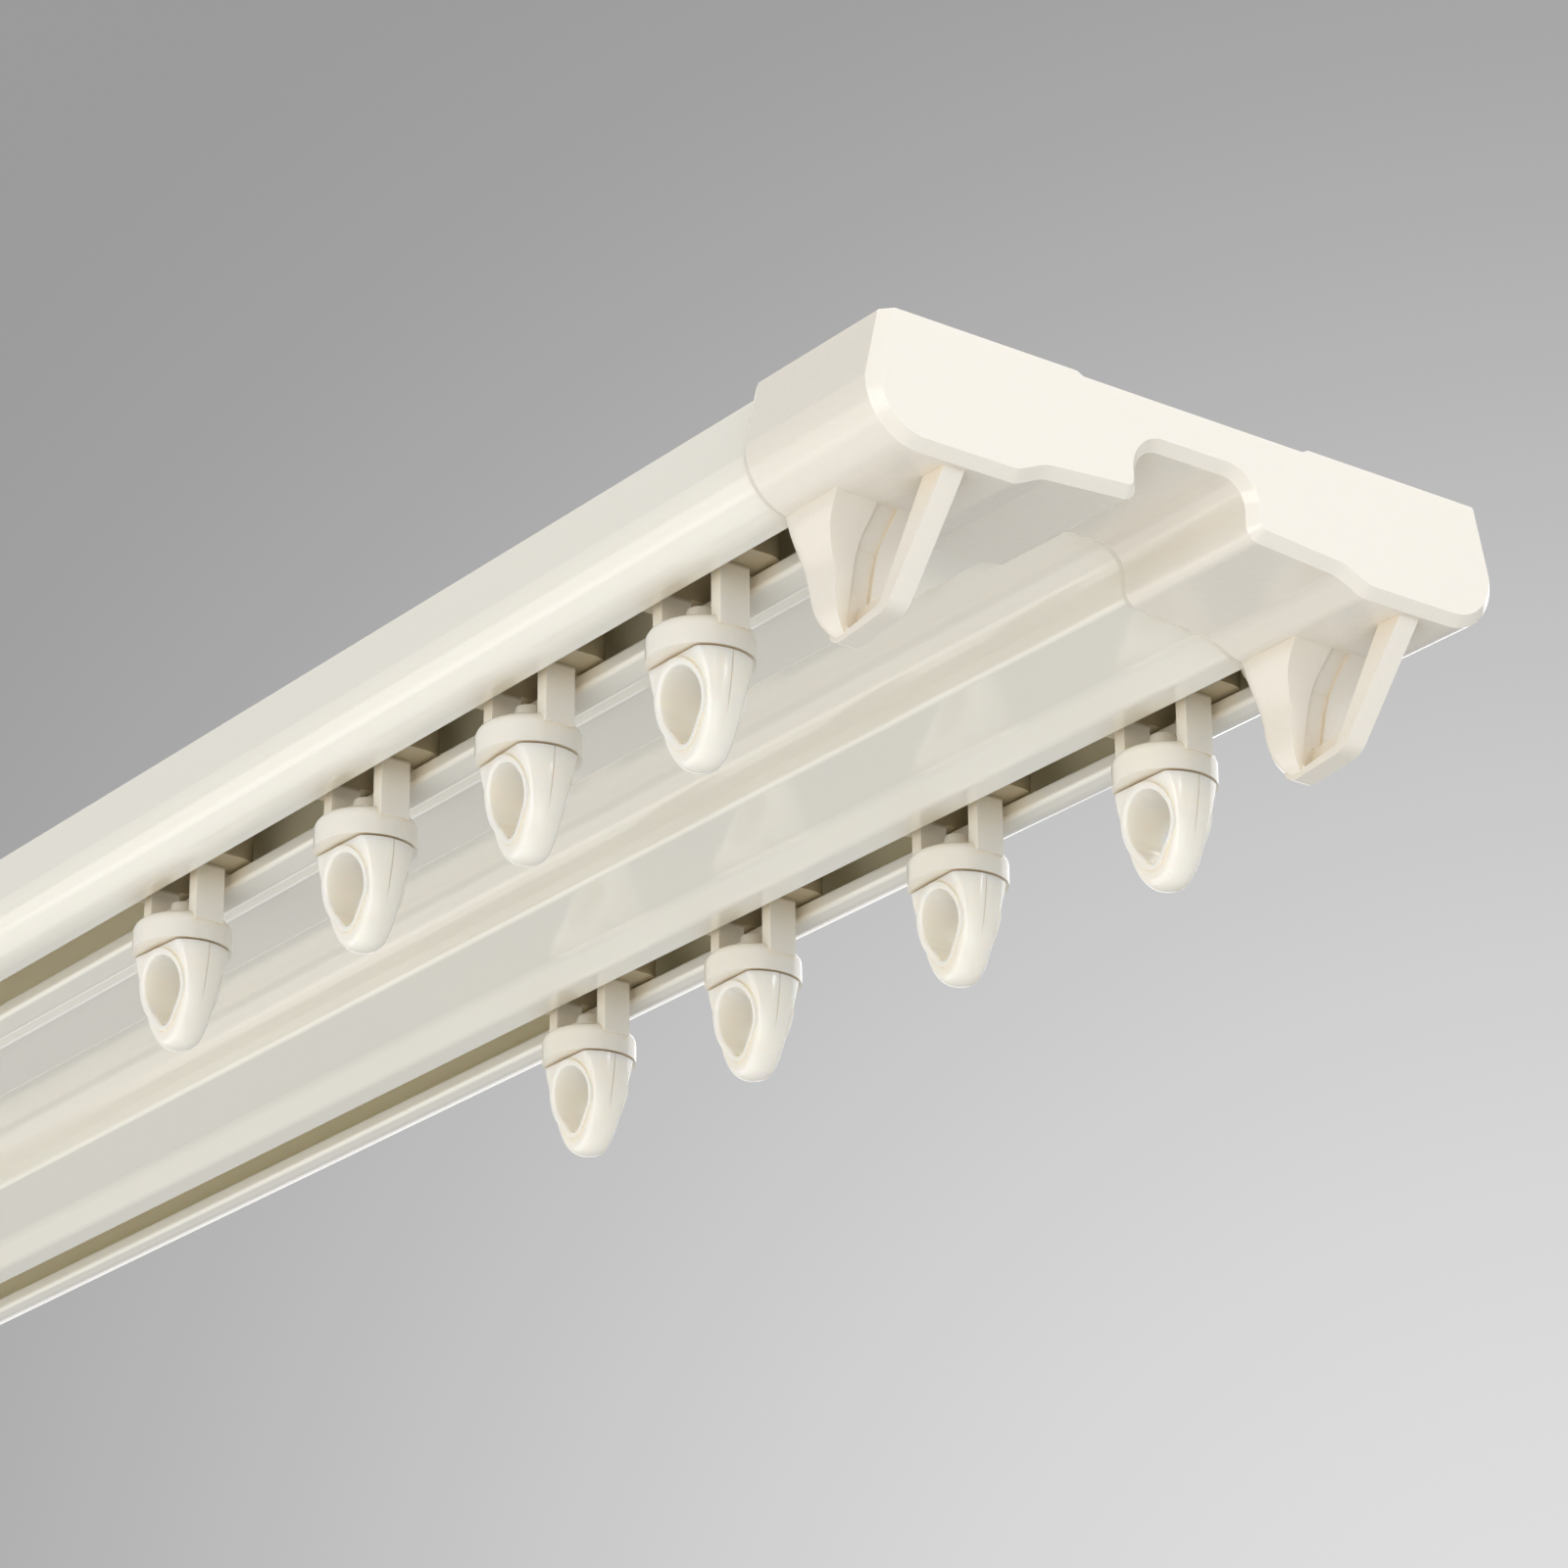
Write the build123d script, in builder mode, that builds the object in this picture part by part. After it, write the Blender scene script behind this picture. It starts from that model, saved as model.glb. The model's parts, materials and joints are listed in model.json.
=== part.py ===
from build123d import *
import os

# Double curtain track: one slotted rail with two channels, a sleeve cap with two hook
# loops on each end, and runners that slide in the channels and carry swivelling eyes.
# Frame: X along the rail, Y across the two tracks, Z up, origin at the middle of the flat
# top that lies against the ceiling.

# Rail
rail_length = 600.0
track_spacing = 52.0
rail_height = 10.7
rail_wall = 1.1
side_lean = 1.5
belly_drop = 6.0
belly_straight = 0.1
lip_height = 1.7
lip_rounding = 0.5
slot_play = 1.0
inner_play = 1.8
outer_play = 3.4
lobe_inner = 5.8
lobe_slope_run = 3.2
shoulder_rise = 1.35
flat_rise = 2.1
recess_width = 15.4
top_dip = 0.35
top_dip_width = 25.2
web_depth = 3.2
recess_fillet = 3.7

# Runner carrier
head_length = 16.4
head_width = 8.6
head_height = 3.8
head_lift = 0.2
head_corner = 3.0
leg_width = 3.2
leg_span = 10.24
arch_width = 7.44
arch_radius = 3.5
arch_recess = 2.5
collar_radius = 5.0
collar_height = 3.1
collar_rounding = 1.1
collar_drop = 3.1

# Swivel eye
eye_top_radius = 4.85
eye_height = 10.05
eye_top_thickness = 6.4
eye_middle_thickness = 4.6
eye_tip_thickness = 3.4
eye_rounding = 0.7
eye_rim = 0.65
eye_rim_proud = 0.2
hole_top_radius = 3.0
hole_bottom_radius = 1.2
hole_length = 7.0
hole_floor = 2.3
hole_rounding = 0.3
pin_radius = 1.3
pin_play = 0.08
swivel_gap = 0.2
snap_radius = 2.1
snap_height = 0.8
snap_tip_radius = 1.5
snap_tip_height = 1.1

# End cap
cap_wall = 1.0
cap_top = 0.6
cap_clearance = 0.1
cap_end_gap = 0.2
cap_end_wall = 1.8
cap_draft = 0.35
cap_bevel = 0.95
cap_lead = 0.45
sleeve_length = 18.6

# Hook loop under each track of a cap: a flat loop, and the flared leg at its back.
# Each leg level gives the depth below the cap's floor, the distances of the leg's front
# and back from the cap's face, and half its width.
hook_leg_levels = [
    (-0.9, 9.7, 22.4, 5.8),
    (0.0, 10.5, 21.7, 5.5),
    (1.5, 12.0, 20.7, 5.0),
    (3.2, 13.4, 20.2, 4.0),
    (4.7, 13.95, 20.0, 3.35),
    (6.9, 14.5, 19.8, 2.8),
    (8.7, 14.9, 19.2, 2.3),
    (9.8, 15.2, 18.2, 1.7),
    (10.5, 15.4, 17.4, 1.1),
]
hook_thickness = 2.2
hook_drop = 11.1
hook_heel = 17.5
hook_toe = 9.7
hook_toe_drop = 10.3
hook_front = 1.1
hook_strap = 3.0
hook_sole = 0.8
hook_strap_slope = 0.66
hook_ledge = 1.9
hook_groove = 0.4

# Where the runners stand, measured from the face of the nearer cap, and how far each eye
# is turned
front_places = [37.6, 64.6, 92.2, 126.0]
rear_places = [35.2, 66.2, 99.8, 129.0]
far_places = [64.6, 37.6]
front_turns = [0.0, -4.0, 2.0, 4.0, -3.0, 4.0]
rear_turns = [0.0, -4.0, -2.0, 0.0, 3.0, -4.0]

# Places worked out from the sizes above
belly_radius = rail_height - belly_drop - belly_straight
track_y = track_spacing / 2
slot_half = leg_width / 2 + slot_play
channel_in = track_y - head_width / 2 - inner_play
belly_y = track_y + head_width / 2 + outer_play + rail_wall
top_y = belly_y - side_lean
lobe_end = track_y - lobe_inner
shoulder_y = lobe_end - lobe_slope_run
shoulder_z = -rail_height + shoulder_rise
flat_z = -rail_height + flat_rise
recess_half = recess_width / 2
lip_top = -rail_height + lip_height
cap_face = rail_length / 2 + cap_end_gap + cap_end_wall
sleeve_rear = cap_face - sleeve_length
cap_floor = -rail_height - cap_wall
head_bottom = lip_top + head_lift
arch_top = head_bottom + arch_recess
collar_top = -rail_height - collar_drop
collar_bottom = collar_top - collar_height
eye_top = collar_bottom - swivel_gap
eye_tip = eye_top - eye_height
snap_bottom = collar_top + swivel_gap
hole_bottom = eye_tip + hole_floor + hole_bottom_radius
hole_top = eye_tip + hole_floor + hole_length - hole_top_radius

os.makedirs("parts", exist_ok=True)


def both_halves(half):
    """Closes a right half, listed as y, z and corner radius, with its mirror image."""
    ring = half + [(-y, z, radius) for y, z, radius in reversed(half)]
    FilletPolyline([(y, z) for y, z, _ in ring], radius=[radius for *_, radius in ring], close=True)


def outline(grow, rise, lean=0.0):
    """The rail's outer line, grown outward by grow, with its top raised by rise and the
    two walls of its middle recess moved inward by lean."""
    both_halves(
        [
            (top_dip_width / 2, rise - top_dip, 0.0),
            (top_dip_width / 2 + 2 * top_dip, rise, 0.0),
            (top_y + grow, rise, 0.3),
            (belly_y + grow, -belly_drop, 0.0),
            (belly_y + grow, -rail_height - grow, belly_radius + grow),
            (lobe_end - 0.4 * grow, -rail_height - grow, 2.0),
            (shoulder_y - 0.2 * grow, shoulder_z - grow, 4.0),
            (recess_half - grow - lean, flat_z - grow, 0.6 + 0.9 * grow),
            (recess_half - grow - lean, -web_depth - grow, recess_fillet - grow),
        ]
    )


def export(builder, name):
    """Labels a finished piece and writes it under the same name."""
    builder.part.label = name
    export_step(builder.part, f"parts/{name}.step")


# Rail: outer line less the two slotted channels and the two closed cells beside the web
with BuildPart() as rail:
    with BuildSketch(Plane.YZ.offset(-rail_length / 2)):
        with BuildLine():
            outline(0.0, 0.0)
        make_face()
        for side in (1, -1):
            channel = [
                (channel_in, -rail_wall, 0.5),
                (top_y - rail_wall, -rail_wall, 0.5),
                (belly_y - rail_wall, -belly_drop, 0.0),
                (belly_y - rail_wall, lip_top, belly_radius - rail_wall - 0.6),
                (track_y + slot_half, lip_top, 0.3),
                (track_y + slot_half, -rail_height - rail_wall, 0.0),
                (track_y - slot_half, -rail_height - rail_wall, 0.0),
                (track_y - slot_half, lip_top, 0.3),
                (channel_in, lip_top, 0.5),
            ]
            cell = [
                (recess_half + rail_wall, -rail_wall, 0.5),
                (channel_in - rail_wall, -rail_wall, 0.5),
                (channel_in - rail_wall, flat_z + rail_wall, 0.5),
                (recess_half + rail_wall, flat_z + rail_wall, 0.5),
            ]
            for ring in (channel, cell):
                with BuildLine():
                    FilletPolyline(
                        [(side * y, z) for y, z, _ in ring],
                        radius=[radius for *_, radius in ring],
                        close=True,
                    )
                make_face(mode=Mode.SUBTRACT)
    extrude(amount=rail_length)
    lips = [
        edge
        for edge in rail.edges().filter_by(Axis.X)
        if abs(edge.center().Z + rail_height) < 0.01
        and abs(abs(abs(edge.center().Y) - track_y) - slot_half) < 0.01
    ]
    fillet(lips, lip_rounding)
export(rail, "rail")

# Hook loop, drawn at the rail's middle line with X measured from the cap's face
hook_top = cap_floor + cap_wall / 3
hook_bottom = cap_floor - hook_drop
with BuildPart() as hook:
    for depth, front, back, half_width in hook_leg_levels:
        with BuildSketch(Plane.XY.offset(cap_floor - depth)):
            with BuildLine():
                shoulder = front + 0.77 * (back - front)
                back_curve = Spline(
                    (-front, half_width),
                    (-shoulder, 0.72 * half_width),
                    (-back, 0),
                    (-shoulder, -0.72 * half_width),
                    (-front, -half_width),
                    tangents=[(-1, 0), (1, 0)],
                )
                Line(back_curve @ 1, back_curve @ 0)
            make_face()
    loft()
    with BuildSketch(Plane.XZ):
        with BuildLine():
            FilletPolyline(
                (-hook_front, hook_top),
                (-hook_toe, cap_floor - hook_toe_drop),
                (-hook_heel + hook_sole, hook_bottom),
                (-hook_heel, cap_floor - hook_toe_drop),
                (-hook_heel, hook_top),
                radius=[0.0, 2.4, 1.5, 0.6, 0.0],
                close=True,
            )
        make_face()
    extrude(amount=hook_thickness / 2, both=True)
    for ledge, far in ((0.0, -hook_thickness / 2), (hook_ledge, hook_thickness / 2)):
        corner_z = cap_floor - hook_toe_drop + hook_sole + ledge
        corner_x = -hook_front - hook_strap - hook_strap_slope * (hook_top - corner_z)
        with BuildSketch(Plane.XZ):
            with BuildLine():
                FilletPolyline(
                    *[
                        (-front - hook_groove, cap_floor - depth)
                        for depth, front, *_ in hook_leg_levels[1:6]
                    ],
                    (-hook_leg_levels[7][1], hook_bottom + hook_sole + ledge),
                    (corner_x, corner_z),
                    (-hook_front - hook_strap, hook_top),
                    radius=[0.0, 0.0, 0.0, 0.0, 0.0, 0.5, 0.8, 0.0],
                    close=True,
                )
            make_face()
        extrude(amount=-far, mode=Mode.SUBTRACT)

# End cap: a sleeve over the rail, closed by a bevelled face
with BuildPart() as end_cap:
    for station, grow, lean in (
        (sleeve_rear, cap_wall - cap_lead, 0.0),
        (sleeve_rear + 2 * cap_lead, cap_wall, 0.0),
        (cap_face - cap_bevel, cap_wall, cap_draft),
        (cap_face, cap_wall - cap_bevel, cap_draft),
    ):
        with BuildSketch(Plane.YZ.offset(station)):
            with BuildLine():
                outline(grow, cap_top, lean)
            make_face()
    loft(ruled=True)
    for side in (1, -1):
        with Locations((cap_face, side * track_y, 0)):
            add(hook.part)
    with BuildSketch(Plane.YZ.offset(sleeve_rear)):
        with BuildLine():
            outline(cap_clearance, cap_clearance)
        make_face()
    extrude(amount=sleeve_length - cap_end_wall, mode=Mode.SUBTRACT)
export(end_cap, "end_cap_right")

with BuildPart() as opposite_cap:
    with Locations(Location((0, 0, 0), (0, 0, 180))):
        add(end_cap.part)
export(opposite_cap, "end_cap_left")

# Runner carrier: head in the channel, two legs through the slot, and a collar below
with BuildPart() as carrier:
    with BuildSketch(Plane.XY.offset(collar_bottom)):
        Circle(collar_radius)
    extrude(amount=collar_height)
    fillet(carrier.edges().sort_by(Axis.Z)[-1], collar_rounding)
    with BuildSketch(Plane.XY.offset(collar_top - collar_rounding)):
        Rectangle(leg_span, leg_width)
    extrude(amount=head_bottom - collar_top + collar_rounding)
    with BuildSketch(Plane.XY.offset(head_bottom)):
        RectangleRounded(head_length, head_width, head_corner)
    extrude(amount=head_height)
    fillet(carrier.faces().sort_by(Axis.Z)[-1].edges(), 0.6)
    with BuildSketch(Plane.XZ):
        with BuildLine():
            FilletPolyline(
                (arch_width / 2, collar_top),
                (arch_width / 2, arch_top),
                (-arch_width / 2, arch_top),
                (-arch_width / 2, collar_top),
                radius=[0.0, arch_radius, arch_radius, 0.0],
                close=True,
            )
        make_face()
    extrude(amount=head_width, both=True, mode=Mode.SUBTRACT)
    with Locations((0, 0, collar_bottom)):
        Cylinder(
            pin_radius + pin_play,
            collar_height,
            align=(Align.CENTER, Align.CENTER, Align.MIN),
            mode=Mode.SUBTRACT,
        )

# Swivel eye: a round-topped drop with flattened sides, a rimmed hole through them, and the
# snap pin that hangs it in the collar
def side_view(grow):
    """The eye's two hollow-curved flats seen from the side, moved outward by grow."""
    sides = [
        Spline(
            (side * (eye_top_thickness / 2 + grow), eye_top),
            (side * (eye_middle_thickness / 2 + grow), eye_top - 0.33 * eye_height),
            (side * (eye_tip_thickness / 2 + grow), eye_tip),
        )
        for side in (1, -1)
    ]
    Line(sides[0] @ 0, sides[1] @ 0)
    Line(sides[0] @ 1, sides[1] @ 1)


def drop(grow):
    """The hole's drop-shaped outline, grown outward by grow."""
    with Locations((0, hole_top)):
        Circle(hole_top_radius + grow)
    with Locations((0, hole_bottom)):
        Circle(hole_bottom_radius + grow)
    make_hull()


with BuildPart() as rim:
    with BuildSketch(Plane.XZ):
        drop(eye_rim)
    extrude(amount=eye_top_thickness, both=True)
    with BuildSketch(Plane.YZ):
        with BuildLine():
            side_view(eye_rim_proud)
        make_face()
    extrude(amount=2 * eye_top_radius, both=True, mode=Mode.INTERSECT)
    with BuildSketch(Plane.XY.offset(eye_top)):
        Circle(eye_top_radius)
    extrude(amount=-eye_height, mode=Mode.INTERSECT)

with BuildPart() as eye:
    with BuildSketch(Plane.XZ):
        with BuildLine():
            profile = Spline(
                (eye_top_radius, eye_top),
                (0.91 * eye_top_radius, eye_top - 0.33 * eye_height),
                (0.80 * eye_top_radius, eye_top - 0.56 * eye_height),
                (0.65 * eye_top_radius, eye_top - 0.76 * eye_height),
                (0.465 * eye_top_radius, eye_top - 0.9 * eye_height),
                (0, eye_tip),
                tangents=[(-0.05, -1), (-1, 0)],
            )
            Polyline(profile @ 1, (0, eye_top), profile @ 0)
        make_face()
    revolve(axis=Axis.Z)
    with BuildSketch(Plane.YZ):
        with BuildLine():
            side_view(0.0)
        make_face()
    extrude(amount=2 * eye_top_radius, both=True, mode=Mode.INTERSECT)
    flanks = [
        edge
        for edge in eye.edges()
        if abs(edge.center().Y) > eye_tip_thickness / 4 and edge.center().Z < eye_top - 0.5
    ]
    fillet(flanks, eye_rounding)
    add(rim.part)
    with BuildSketch(Plane.XZ):
        drop(0.0)
    extrude(amount=eye_top_thickness, both=True, mode=Mode.SUBTRACT)
    mouths = [
        edge
        for edge in eye.edges(Select.LAST)
        if abs(edge.center().Y) > 0.1 and edge.geom_type != GeomType.LINE
        or edge.geom_type == GeomType.LINE and abs(edge.tangent_at(0.5).Y) < 0.9
    ]
    fillet(mouths, hole_rounding)
    with BuildSketch(Plane.XY.offset(eye_top)):
        Circle(pin_radius)
    extrude(amount=snap_bottom - eye_top)
    with BuildSketch(Plane.XY.offset(snap_bottom)):
        Circle(snap_radius)
    extrude(amount=snap_height)
    with BuildSketch(Plane.XY.offset(snap_bottom + snap_height)):
        Circle(snap_tip_radius)
    extrude(amount=snap_tip_height, taper=12)

for track, side, places, turns in (
    ("front", -1, front_places, front_turns),
    ("rear", 1, rear_places, rear_turns),
):
    stations = [cap_face - place for place in places] + [place - cap_face for place in far_places]
    for number, (station, turn) in enumerate(zip(stations, turns), start=1):
        with BuildPart() as runner:
            with Locations((station, side * track_y, 0)):
                add(carrier.part)
        export(runner, f"{track}_runner_{number}")
        with BuildPart() as ring:
            with Locations(Location((station, side * track_y, 0), (0, 0, turn))):
                add(eye.part)
        export(ring, f"{track}_eye_{number}")
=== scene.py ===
import json
import math

import bpy
from mathutils import Matrix, Vector


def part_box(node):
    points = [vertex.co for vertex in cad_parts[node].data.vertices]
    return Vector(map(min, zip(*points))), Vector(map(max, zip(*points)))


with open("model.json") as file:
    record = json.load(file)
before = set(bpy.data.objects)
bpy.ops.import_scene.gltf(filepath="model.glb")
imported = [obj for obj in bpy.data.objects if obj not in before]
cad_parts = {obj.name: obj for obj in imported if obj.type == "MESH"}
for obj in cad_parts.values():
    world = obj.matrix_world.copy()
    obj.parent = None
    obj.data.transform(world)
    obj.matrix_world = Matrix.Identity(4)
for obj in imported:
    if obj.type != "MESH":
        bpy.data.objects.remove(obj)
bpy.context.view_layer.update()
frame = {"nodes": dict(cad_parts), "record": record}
scene = bpy.context.scene
nodes = frame["nodes"]
record = frame["record"]
mm = 0.001
print("frame loaded:", len(nodes), "nodes")

cameraSetup = {
    "place": (624.2, -289.3, -214.18),  # mm, below and beyond the visible end cap
    "yaw": 142.872,  # degrees from +X to the line of sight
    "pitch": 22.624,  # degrees, looking up
    "roll": -0.528,
    "lens": 126.28,  # mm
    "sensor": 36.0,  # mm
    "clip": (0.01, 100.0),  # m
}


def makeCamera(c):
    yaw, pitch, roll = (math.radians(c[k]) for k in ("yaw", "pitch", "roll"))
    flat = math.cos(pitch)
    sight = Vector((flat * math.cos(yaw), flat * math.sin(yaw), math.sin(pitch)))
    level = Vector((math.sin(yaw), -math.cos(yaw), 0))
    upright = level.cross(sight)
    right = level * math.cos(roll) + upright * math.sin(roll)
    up = upright * math.cos(roll) - level * math.sin(roll)
    data = bpy.data.cameras.new("photoCamera")
    data.lens = c["lens"]
    data.sensor_width = c["sensor"]
    data.clip_start, data.clip_end = c["clip"]
    camera = bpy.data.objects.new("photoCamera", data)
    turn = Matrix((right, up, -sight)).transposed().to_4x4()
    camera.matrix_world = Matrix.Translation(Vector(c["place"]) * mm) @ turn
    scene.collection.objects.link(camera)
    scene.camera = camera


makeCamera(cameraSetup)
print("camera placed")

# colour and shade, roughness from and to, size of the mottle and of the grain (per m),
# height of the grain in mm, how much light bleeds through and how strong the top gloss is
plastics = {
    "rail": {
        "colour": (0.880, 0.855, 0.775),
        "shade": (0.855, 0.828, 0.742),
        "roughness": (0.10, 0.16),
        "blotch": 12.0,
        "grain": 500.0,
        "stretch": 0.01,  # streaks drawn out along the extrusion
        "bump": 0.008,
        "bleed": 0.08,
        "coat": 0.6,
    },
    "cap": {
        "colour": (0.830, 0.785, 0.705),
        "shade": (0.805, 0.757, 0.672),
        "roughness": (0.16, 0.23),
        "blotch": 30.0,
        "grain": 1500.0,
        "stretch": 1.0,
        "bump": 0.03,
        "bleed": 0.12,
        "coat": 0.3,
    },
    "runner": {
        "colour": (0.880, 0.850, 0.775),
        "shade": (0.860, 0.825, 0.745),
        "roughness": (0.18, 0.26),
        "blotch": 60.0,
        "grain": 1800.0,
        "stretch": 1.0,
        "bump": 0.02,
        "bleed": 0.25,
        "coat": 0.3,
    },
    "eye": {
        "colour": (0.925, 0.893, 0.828),
        "shade": (0.905, 0.868, 0.793),
        "roughness": (0.12, 0.20),
        "blotch": 80.0,
        "grain": 1800.0,
        "stretch": 1.0,
        "bump": 0.015,
        "bleed": 0.55,
        "coat": 0.4,
    },
}

everyPlastic = {
    "ior": 1.5,
    "gloss": 0.06,  # roughness of the top gloss
    "bleedReach": 1.0,  # mm
    "bleedRadius": (2.0, 1.6, 1.1),  # red, green and blue, in shares of the reach
    "bumpUnit": 1.0,  # mm of height that a bump of 1 stands for
    "detail": 3,  # octaves of the noise
}

# painted shade: the channels' walls and the runners' heads in them come out darker, as little
# light reaches there
paintedChannelShade = {
    "wall": (0.920, 0.855, 0.660),  # painted shade inside the channels, darker and more olive
    "head": (0.420, 0.350, 0.220),  # painted shade on the runners' heads in them
    "lip": -9.3,  # mm, where the painted shade begins, just under the lips' inner edge
    "soft": 0.5,  # mm, over which it deepens
    "half": 8.3,  # mm each side of the track's middle
}

# painted shade in corners and crevices, found by ambient occlusion
paintedCornerShade = {
    "colour": (0.90, 0.80, 0.63),  # painted shade: what the plastic is multiplied by in a corner
    "reach": 4.0,  # mm
    "samples": 8,
}

partingLine = {
    "colour": (0.70, 0.64, 0.53),
    "half": 0.05,  # mm, half the width of the line
    "soft": 0.5,  # share of that half over which its edge fades, in and out
    "deep": 0.06,  # mm
    "flank": 3.4,  # mm from the eye's middle, clear of its hole
    "low": -23.5,  # mm, where it has faded out
    "fade": 2.5,  # mm
}


def node(tree, kind, **values):
    made = tree.nodes.new("ShaderNode" + kind)
    for key, value in values.items():
        setattr(made, key, value)
    return made


def number(tree, operation, first, second=None):
    made = node(tree, "Math", operation=operation)
    for place, value in enumerate((first, second)):
        if value is None:
            continue
        if isinstance(value, (int, float)):
            made.inputs[place].default_value = value
        else:
            tree.links.new(value, made.inputs[place])
    return made.outputs[0]


def ramp(tree, value, start, end):
    made = node(tree, "MapRange", interpolation_type="SMOOTHSTEP")
    made.inputs["From Min"].default_value = start
    made.inputs["From Max"].default_value = end
    tree.links.new(value, made.inputs["Value"])
    return made.outputs["Result"]


def blend(tree, share, first, second):
    made = node(tree, "Mix", data_type="RGBA")
    for socket, value in (("A", first), ("B", second)):
        if isinstance(value, tuple):
            made.inputs[socket].default_value = (*value, 1)
        else:
            tree.links.new(value, made.inputs[socket])
    tree.links.new(share, made.inputs["Factor"])
    return made.outputs["Result"]


def mottle(tree, vector, scale):
    made = node(tree, "TexNoise")
    made.inputs["Scale"].default_value = scale
    made.inputs["Detail"].default_value = everyPlastic["detail"]
    tree.links.new(vector, made.inputs["Vector"])
    return made.outputs["Fac"]


def channelBox(name):
    for row in record["physics"]["openings"]:
        if row["name"] == name:
            return row["box_m"]
    raise ValueError("no opening named " + name)


channelLow, channelHigh = channelBox("front_channel")
trackOffset = -(channelLow[1] + channelHigh[1]) / 2
channelMiddle = (channelLow[2] + channelHigh[2]) / 2


def railShadeMask(tree, place):
    # where the channels' painted shade goes: 1 on the walls that face a channel's middle, above
    # the lips, and 0 on the outside
    point, facing = (node(tree, "SeparateXYZ") for k in range(2))
    tree.links.new(place.outputs["Object"], point.inputs[0])
    tree.links.new(place.outputs["Normal"], facing.inputs[0])
    side = number(tree, "SIGN", point.outputs["Y"])
    across = number(tree, "SUBTRACT", number(tree, "ABSOLUTE", point.outputs["Y"]), trackOffset)
    height = number(tree, "SUBTRACT", point.outputs["Z"], channelMiddle)
    outY = number(tree, "MULTIPLY", number(tree, "MULTIPLY", facing.outputs["Y"], side), across)
    outZ = number(tree, "MULTIPLY", facing.outputs["Z"], height)
    inward = number(tree, "LESS_THAN", number(tree, "ADD", outY, outZ), 0.0)
    near = number(tree, "LESS_THAN", number(tree, "ABSOLUTE", across), paintedChannelShade["half"] * mm)
    return number(tree, "MULTIPLY", number(tree, "MULTIPLY", inward, near), aboveLips(tree, point))


def aboveLips(tree, point):
    low = paintedChannelShade["lip"] * mm
    return ramp(tree, point.outputs["Z"], low, low + paintedChannelShade["soft"] * mm)


def headShadeMask(tree, place):
    # where the runners' painted shade goes: everything above the lips, inside the channel
    point = node(tree, "SeparateXYZ")
    tree.links.new(place.outputs["Object"], point.inputs[0])
    return aboveLips(tree, point)


def onPartingLine(tree, place, centre, turn):
    # the line where the mould halves met, down both narrow flanks of an eye
    local = node(tree, "Mapping", vector_type="TEXTURE")
    local.inputs["Location"].default_value = centre
    local.inputs["Rotation"].default_value = (0, 0, turn)
    tree.links.new(place.outputs["Object"], local.inputs["Vector"])
    point = node(tree, "SeparateXYZ")
    tree.links.new(local.outputs["Vector"], point.inputs[0])
    aside = number(tree, "ABSOLUTE", point.outputs["Y"])
    half, soft = partingLine["half"] * mm, partingLine["soft"]
    line = ramp(tree, aside, (1 + soft) * half, (1 - soft) * half)
    reach = number(tree, "ABSOLUTE", point.outputs["X"])
    flank = number(tree, "GREATER_THAN", reach, partingLine["flank"] * mm)
    low = partingLine["low"] * mm
    upper = ramp(tree, point.outputs["Z"], low, low + partingLine["fade"] * mm)
    return number(tree, "MULTIPLY", number(tree, "MULTIPLY", line, flank), upper)


def paintCornerShade(tree, colour):
    # painted shade: a warmer, deeper cream where faces lie close together, from ambient occlusion
    near = node(tree, "AmbientOcclusion", samples=paintedCornerShade["samples"])
    near.inputs["Distance"].default_value = paintedCornerShade["reach"] * mm
    tree.links.new(colour, near.inputs["Color"])
    tint = node(tree, "Mix", data_type="RGBA", blend_type="MULTIPLY")
    tint.inputs["Factor"].default_value = 1.0
    tree.links.new(colour, tint.inputs["A"])
    tint.inputs["B"].default_value = (*paintedCornerShade["colour"], 1)
    return blend(tree, near.outputs["AO"], tint.outputs["Result"], colour)


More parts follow.
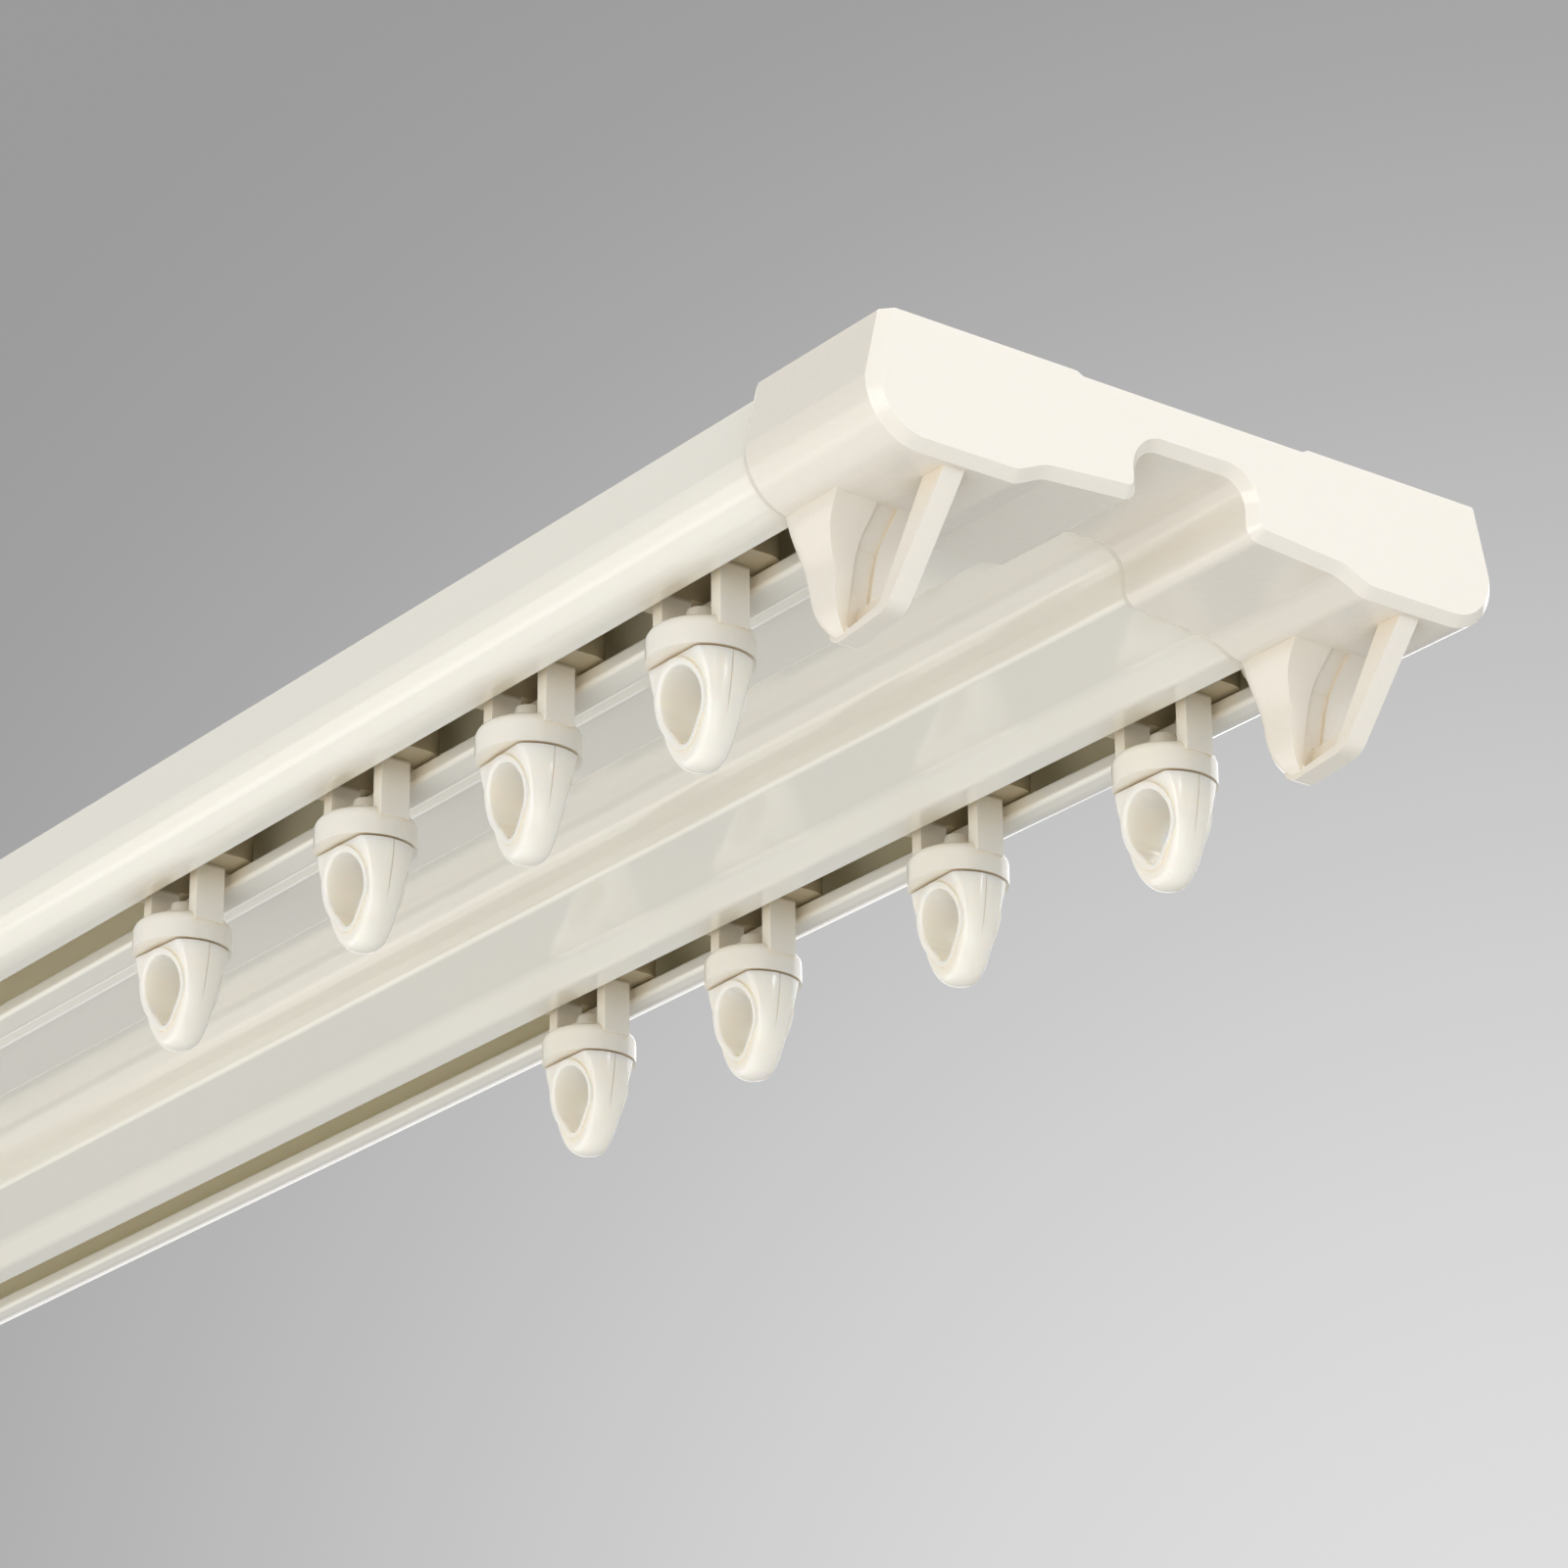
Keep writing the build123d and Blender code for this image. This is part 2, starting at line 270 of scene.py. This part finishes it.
def makePlastic(name, p, tone=None, groove=None):
    material = bpy.data.materials.new(name)
    material.use_nodes = True
    tree = material.node_tree
    shader = tree.nodes["Principled BSDF"]
    place = node(tree, "TexCoord")
    along = node(tree, "Mapping")
    along.inputs["Scale"].default_value = (p["stretch"], 1, 1)
    tree.links.new(place.outputs["Object"], along.inputs["Vector"])
    cloud = mottle(tree, along.outputs["Vector"], p["blotch"])
    grain = mottle(tree, along.outputs["Vector"], p["grain"])
    # the mottled colour, with painted shade in its corners
    colour = paintCornerShade(tree, blend(tree, cloud, p["colour"], p["shade"]))
    # tone paints shade into the colour: darker channel walls and runner heads above the lips
    if tone:
        colour = blend(tree, tone[0](tree, place), colour, paintedChannelShade[tone[1]])
    height = number(tree, "MULTIPLY", grain, p["bump"])
    if groove:
        line = onPartingLine(tree, place, *groove)
        colour = blend(tree, line, colour, partingLine["colour"])
        cut = number(tree, "MULTIPLY", line, partingLine["deep"])
        height = number(tree, "SUBTRACT", height, cut)
    tree.links.new(colour, shader.inputs["Base Color"])
    sheen = node(tree, "MapRange")
    sheen.inputs["To Min"].default_value, sheen.inputs["To Max"].default_value = p["roughness"]
    tree.links.new(cloud, sheen.inputs["Value"])
    tree.links.new(sheen.outputs["Result"], shader.inputs["Roughness"])
    bump = node(tree, "Bump")
    bump.inputs["Strength"].default_value = 1.0
    bump.inputs["Distance"].default_value = everyPlastic["bumpUnit"] * mm
    tree.links.new(height, bump.inputs["Height"])
    tree.links.new(bump.outputs["Normal"], shader.inputs["Normal"])
    shader.inputs["IOR"].default_value = everyPlastic["ior"]
    shader.inputs["Coat Weight"].default_value = p["coat"]
    shader.inputs["Coat Roughness"].default_value = everyPlastic["gloss"]
    shader.inputs["Subsurface Weight"].default_value = p["bleed"]
    shader.inputs["Subsurface Scale"].default_value = everyPlastic["bleedReach"] * mm
    shader.inputs["Subsurface Radius"].default_value = everyPlastic["bleedRadius"]
    return material


def turnOf(piece):
    # the angle of an eye's wide side about Z, from the spread of its mesh
    points = [vertex.co for vertex in piece.data.vertices]
    midX = sum(p.x for p in points) / len(points)
    midY = sum(p.y for p in points) / len(points)
    spreadX = sum((p.x - midX) ** 2 for p in points)
    spreadY = sum((p.y - midY) ** 2 for p in points)
    both = sum((p.x - midX) * (p.y - midY) for p in points)
    return 0.5 * math.atan2(2 * both, spreadX - spreadY)


def eyeFrame(name):
    low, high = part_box(name)
    middle = ((low[0] + high[0]) / 2, (low[1] + high[1]) / 2, 0.0)
    return middle, turnOf(nodes[name])


# the rail and the runners get painted shade inside the channels
shared = {
    "rail": makePlastic("railPlastic", plastics["rail"], tone=(railShadeMask, "wall")),
    "cap": makePlastic("capPlastic", plastics["cap"]),
    "runner": makePlastic("runnerPlastic", plastics["runner"], tone=(headShadeMask, "head")),
}
for row in record["subparts"]:
    name, slot = row["node"], row["material_slot"]
    if slot == "eye":
        finish = makePlastic(name + "_plastic", plastics["eye"], groove=eyeFrame(name))
    else:
        finish = shared[slot]
    piece = nodes[name]
    piece.data.materials.clear()
    piece.data.materials.append(finish)
print("nodes dressed:", len(nodes))

studio = {
    "glow": (-0.6824, 0.7085, 0.1797),  # direction of the backdrop's bright spot
    "bright": 0.73,
    "spread": (3.0, 25.0),  # degrees from the spot, between which it dulls
    "dull": 0.33,
    "paleFrom": (32.0, 60.0),  # degrees from the spot, between which it turns pale again
    "pale": 0.66,
    "haze": (0.02, 0.17),  # sine of the height, up to which it keeps the tone of the floor
    "horizon": 0.46,
    "floor": (0.86, 0.86, 0.85),
    "floorRoughness": 0.9,
    "floorDrop": 3.5,  # m, deep enough for a view from straight below
    "floorSize": 80.0,  # m
    "ambient": 0.48,
    "lamps": [
        # name, place, aim and size in m, watts, colour
        ("endLamp", (1.5, 0.10, 0.45), (0.3, 0, 0), (0.7, 0.7), 8.5, (0.89, 0.93, 1.0)),
        ("flankLamp", (1.4, -0.05, -0.30), (0.25, 0, 0), (0.5, 0.5), 1.1, (1.0, 1.0, 1.0)),
        ("fillLamp", (1.2, -1.0, -0.20), (0.2, 0, 0), (1.0, 0.7), 5.0, (1.0, 0.98, 0.95)),
        ("lowLamp", (-0.1, -0.35, -0.68), (-0.1, 0, 0), (2.2, 0.9), 3.4, (1.0, 1.0, 1.0)),
        ("sideLamp", (-0.4, -1.2, -0.50), (-0.15, 0, 0), (2.2, 0.9), 5.7, (1.0, 0.96, 0.90)),
        ("topLamp", (0.2, 0.3, 1.4), (0, 0, 0), (1.5, 1.5), 9.0, (1.0, 1.0, 1.0)),
        ("rearLamp", (-1.5, 0.8, 0.40), (-0.1, 0, 0), (1.4, 1.4), 4.0, (1.0, 0.98, 0.95)),
        ("backLamp", (-0.2, 1.2, 0.55), (0, 0, 0), (1.4, 0.6), 3.5, (1.0, 1.0, 1.0)),
    ],
}


def makeLamp(name, place, aim, size, watts, colour):
    data = bpy.data.lights.new(name, "AREA")
    data.shape = "RECTANGLE"
    data.size, data.size_y = size
    data.energy = watts
    data.color = colour
    lamp = bpy.data.objects.new(name, data)
    lamp.location = place
    lamp.rotation_euler = (Vector(aim) - Vector(place)).to_track_quat("-Z", "Y").to_euler()
    scene.collection.objects.link(lamp)


def makeFloor(s):
    half, drop = s["floorSize"] / 2, -s["floorDrop"]
    corners = [(x * half, y * half, drop) for x, y in ((-1, -1), (1, -1), (1, 1), (-1, 1))]
    mesh = bpy.data.meshes.new("paleFloor")
    mesh.from_pydata(corners, [], [(0, 1, 2, 3)])
    floor = bpy.data.objects.new("paleFloor", mesh)
    material = bpy.data.materials.new("palePaper")
    material.use_nodes = True
    shader = material.node_tree.nodes["Principled BSDF"]
    shader.inputs["Base Color"].default_value = (*s["floor"], 1)
    shader.inputs["Roughness"].default_value = s["floorRoughness"]
    mesh.materials.append(material)
    scene.collection.objects.link(floor)


def makeBackdrop(s):
    world = bpy.data.worlds.new("studioWorld")
    scene.world = world
    world.use_nodes = True
    tree = world.node_tree
    tree.nodes.clear()
    # the backdrop is what the camera, gloss and glass see, and an even grey lights the part
    rays = node(tree, "LightPath")
    direct, gloss = rays.outputs["Is Camera Ray"], rays.outputs["Is Glossy Ray"]
    straight = number(tree, "MAXIMUM", direct, gloss)
    straight = number(tree, "MAXIMUM", straight, rays.outputs["Is Transmission Ray"])
    where = node(tree, "TexCoord")
    toGlow = node(tree, "VectorMath", operation="DOT_PRODUCT")
    toGlow.inputs[1].default_value = s["glow"]
    tree.links.new(where.outputs["Generated"], toGlow.inputs[0])
    angle = number(tree, "ARCCOSINE", toGlow.outputs["Value"])
    fade = ramp(tree, angle, *(math.radians(reach) for reach in s["spread"]))
    grade = blend(tree, fade, (s["bright"],) * 3, (s["dull"],) * 3)
    aside = ramp(tree, angle, *(math.radians(reach) for reach in s["paleFrom"]))
    grade = blend(tree, aside, grade, (s["pale"],) * 3)
    split = node(tree, "SeparateXYZ")
    tree.links.new(where.outputs["Generated"], split.inputs[0])
    rise = ramp(tree, split.outputs["Z"], *s["haze"])
    grade = blend(tree, rise, (s["horizon"],) * 3, grade)
    seen = node(tree, "Background")
    tree.links.new(grade, seen.inputs["Color"])
    fill = node(tree, "Background")
    fill.inputs["Color"].default_value = (1, 1, 1, 1)
    fill.inputs["Strength"].default_value = s["ambient"]
    pick = node(tree, "MixShader")
    tree.links.new(straight, pick.inputs["Fac"])
    tree.links.new(fill.outputs[0], pick.inputs[1])
    tree.links.new(seen.outputs[0], pick.inputs[2])
    out = node(tree, "OutputWorld")
    tree.links.new(pick.outputs[0], out.inputs["Surface"])


for lamp in studio["lamps"]:
    makeLamp(*lamp)
makeFloor(studio)
makeBackdrop(studio)
scene.view_settings.view_transform = "Standard"
print("studio lit with", len(studio["lamps"]), "lamps")
